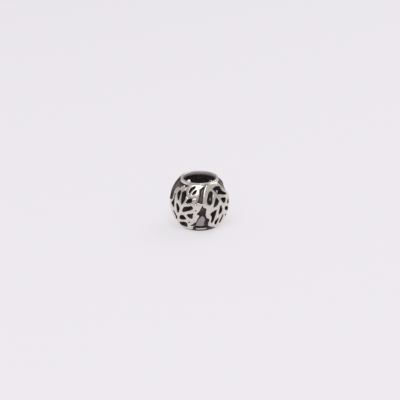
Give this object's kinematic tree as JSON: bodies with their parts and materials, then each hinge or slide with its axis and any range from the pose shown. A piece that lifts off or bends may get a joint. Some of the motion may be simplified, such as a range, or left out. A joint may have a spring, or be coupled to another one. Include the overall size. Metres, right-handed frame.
{
  "type": "openwork charm bead",
  "caption": "Barrel-shaped silver charm bead with raised pierced leaves, plain collars and a wide bore to slide on a bracelet or cord.",
  "frame": {"origin": "centre of the bottom collar's rim, on the bore's axis", "axes": "+Z along the bore, upwards; the front of the leaf pattern faces -Y"},
  "size_m": [0.011, 0.011, 0.0092],
  "materials": {
    "oxidised_silver": "polished cast sterling silver, blackened in the recesses"
  },
  "bodies": {
    "root": {"openwork_bead": "oxidised_silver"}
  },
  "joints": []
}
